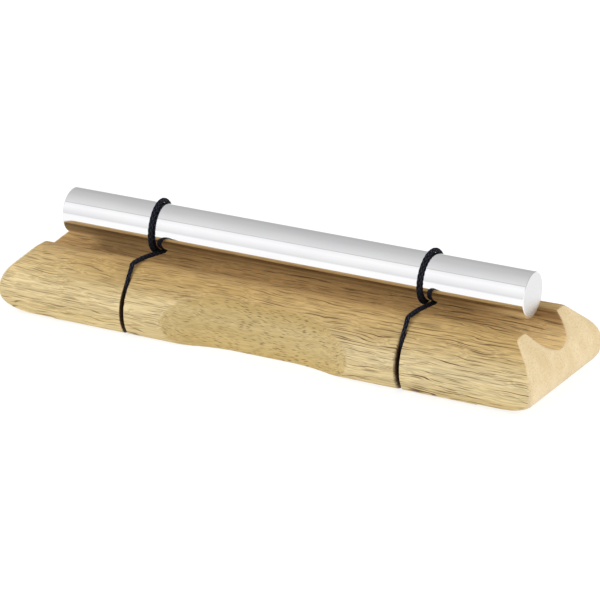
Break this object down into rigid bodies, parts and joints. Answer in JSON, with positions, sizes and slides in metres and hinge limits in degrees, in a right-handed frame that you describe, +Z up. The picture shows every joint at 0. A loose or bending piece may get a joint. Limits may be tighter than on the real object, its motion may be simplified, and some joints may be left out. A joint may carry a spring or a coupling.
{
  "type": "energy chime",
  "caption": "Hand chime: a solid round metal bar slung in dark cord loops over a cove groove in a pale wooden block with bulging sides and finger scoops.",
  "frame": {"origin": "middle of the block's flat underside, at the height of the table it rests on", "axes": "+X along the bar, +Y away from the viewer across the block, +Z up"},
  "size_m": [0.206, 0.0536, 0.0428],
  "materials": {
    "wood": "fine sanded and lightly oiled",
    "metal": "polished",
    "cord": "matte twisted cord"
  },
  "bodies": {
    "base": {"base_block": "wood", "left_cord_near_span": "cord", "left_cord_far_span": "cord", "left_cord_near_tail": "cord", "left_cord_far_tail": "cord", "left_cord_knot": "cord", "right_cord_near_span": "cord", "right_cord_far_span": "cord", "right_cord_near_tail": "cord", "right_cord_far_tail": "cord", "right_cord_knot": "cord"},
    "cord_loops": {"left_cord_loop": "cord", "right_cord_loop": "cord"},
    "bar": {"chime_bar": "metal"}
  },
  "joints": [
    {"name": "bar_bounce", "type": "slide", "parent": "base", "child": "cord_loops", "axis": [0, 0, 1], "range_m": [-0.006, 0.006], "stiffness_N_per_m": 400, "springref_m": 0.00235, "deforming": ["left_cord_near_span", "left_cord_far_span", "right_cord_near_span", "right_cord_far_span"]},
    {"name": "bar_shift", "type": "slide", "parent": "cord_loops", "child": "bar", "axis": [1, 0, 0], "range_m": [-0.03, 0.03]}
  ]
}
